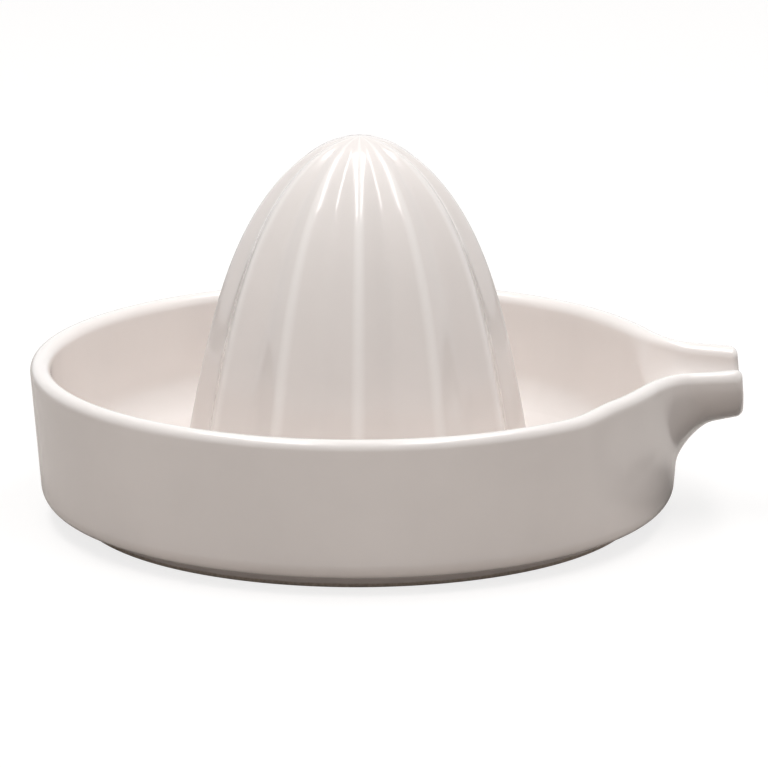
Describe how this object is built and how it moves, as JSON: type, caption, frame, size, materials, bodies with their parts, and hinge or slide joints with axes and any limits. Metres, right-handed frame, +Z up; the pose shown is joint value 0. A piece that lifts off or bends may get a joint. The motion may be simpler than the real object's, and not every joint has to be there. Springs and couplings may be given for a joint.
{
  "type": "citrus juicer",
  "caption": "Glazed ceramic citrus juicer: fluted reaming cone standing in a shallow round dish with an open pouring spout and a narrow foot ring.",
  "frame": {"origin": "dish axis, on the plane that the foot ring stands on", "axes": "+Z up along the axis of dish and cone, +X from the axis towards the pouring spout, +Y to the left of the spout seen from above with the spout pointing away"},
  "size_m": [0.1526, 0.14, 0.0824],
  "materials": {
    "dish_glaze": "satin clear glaze over a warm white body",
    "cone_glaze": "satin clear glaze over a warm white body, thinner and brighter on the ribs",
    "spout_glaze": "satin clear glaze over a warm white body",
    "biscuit": "bare fired clay, ground flat where it stands"
  },
  "bodies": {
    "root": {"dish": "dish_glaze", "reamer_cone": "cone_glaze", "pouring_spout": "spout_glaze", "foot_ring": "biscuit"}
  },
  "joints": []
}
